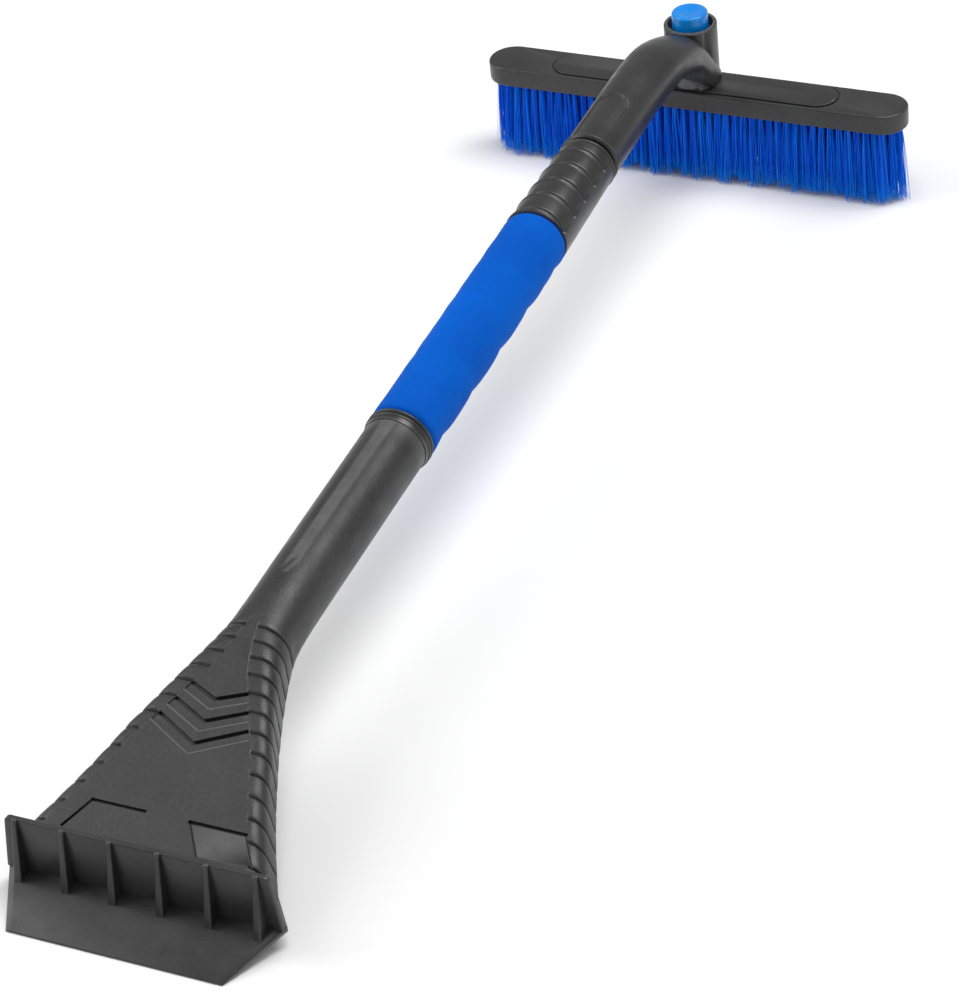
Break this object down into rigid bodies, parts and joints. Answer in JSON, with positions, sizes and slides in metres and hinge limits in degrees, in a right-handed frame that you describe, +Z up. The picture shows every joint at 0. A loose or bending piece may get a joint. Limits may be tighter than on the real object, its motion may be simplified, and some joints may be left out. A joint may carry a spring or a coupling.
{
  "type": "snow brush with ice scraper",
  "caption": "Car snow brush with a swivelling bristle head on a swan neck, a push-button lock, a foam grip and a wide ice scraper with a ridged wall at the other end.",
  "frame": {"origin": "on the ground under the swivel post, at the tips of the middle row of bristles; the tool lies on its bristles and its scraping edge", "axes": "+X along the brush head, -Y along the handle from the brush to the scraper, +Z up along the swivel axis"},
  "size_m": [0.248, 0.697, 0.1072],
  "materials": {
    "black_plastic": "fine moulded texture, satin",
    "blue_foam": "soft closed-cell foam, matt",
    "blue_bristle": "drawn polypropylene fibre, satin",
    "blue_button": "glossy moulded plastic",
    "steel": "zinc plated",
    "aluminium": "drawn tube",
    "nylon": "natural nylon",
    "rubber": "matt"
  },
  "bodies": {
    "handle": {"scraper_head": "black_plastic", "back_cover": "black_plastic", "cover_screw_1": "steel", "cover_screw_2": "steel", "cover_screw_3": "steel", "cover_screw_4": "steel", "ice_blade": "black_plastic", "blade_screw_left": "steel", "blade_screw_middle": "steel", "blade_screw_right": "steel", "handle_tube": "aluminium", "tube_screw_upper": "steel", "tube_screw_lower": "steel", "foam_grip": "blue_foam", "grip_end_ring": "black_plastic", "ribbed_collar": "black_plastic", "joint_ring": "rubber"},
    "arm": {"neck_arm": "black_plastic", "button_retainer": "black_plastic"},
    "button": {"release_button": "blue_button", "lock_plunger": "nylon", "button_spring": "steel"},
    "head": {"brush_plate": "black_plastic", "swivel_hub": "black_plastic", "hub_screw_left": "steel", "hub_screw_right": "steel", "pivot_washer": "steel", "pivot_screw": "steel", "bristle_block": "black_plastic", "bristle_row_1": "blue_bristle", "bristle_row_2": "blue_bristle", "bristle_row_3": "blue_bristle", "bristle_row_4": "blue_bristle", "bristle_row_5": "blue_bristle"}
  },
  "joints": [
    {"name": "arm_pull", "type": "slide", "parent": "handle", "child": "arm", "axis": [0, 0.9966, 0.0819], "range_m": [0, 0.031]},
    {"name": "button_press", "type": "slide", "parent": "arm", "child": "button", "axis": [0, 0, -1], "range_m": [0, 0.0035], "stiffness_N_per_m": 900, "springref_m": -0.001, "deforming": ["button_spring"]},
    {"name": "head_swivel", "type": "hinge", "parent": "arm", "child": "head", "pos_m": [0, 0, 0.057], "axis": [0, 0, 1], "continuous": true}
  ]
}
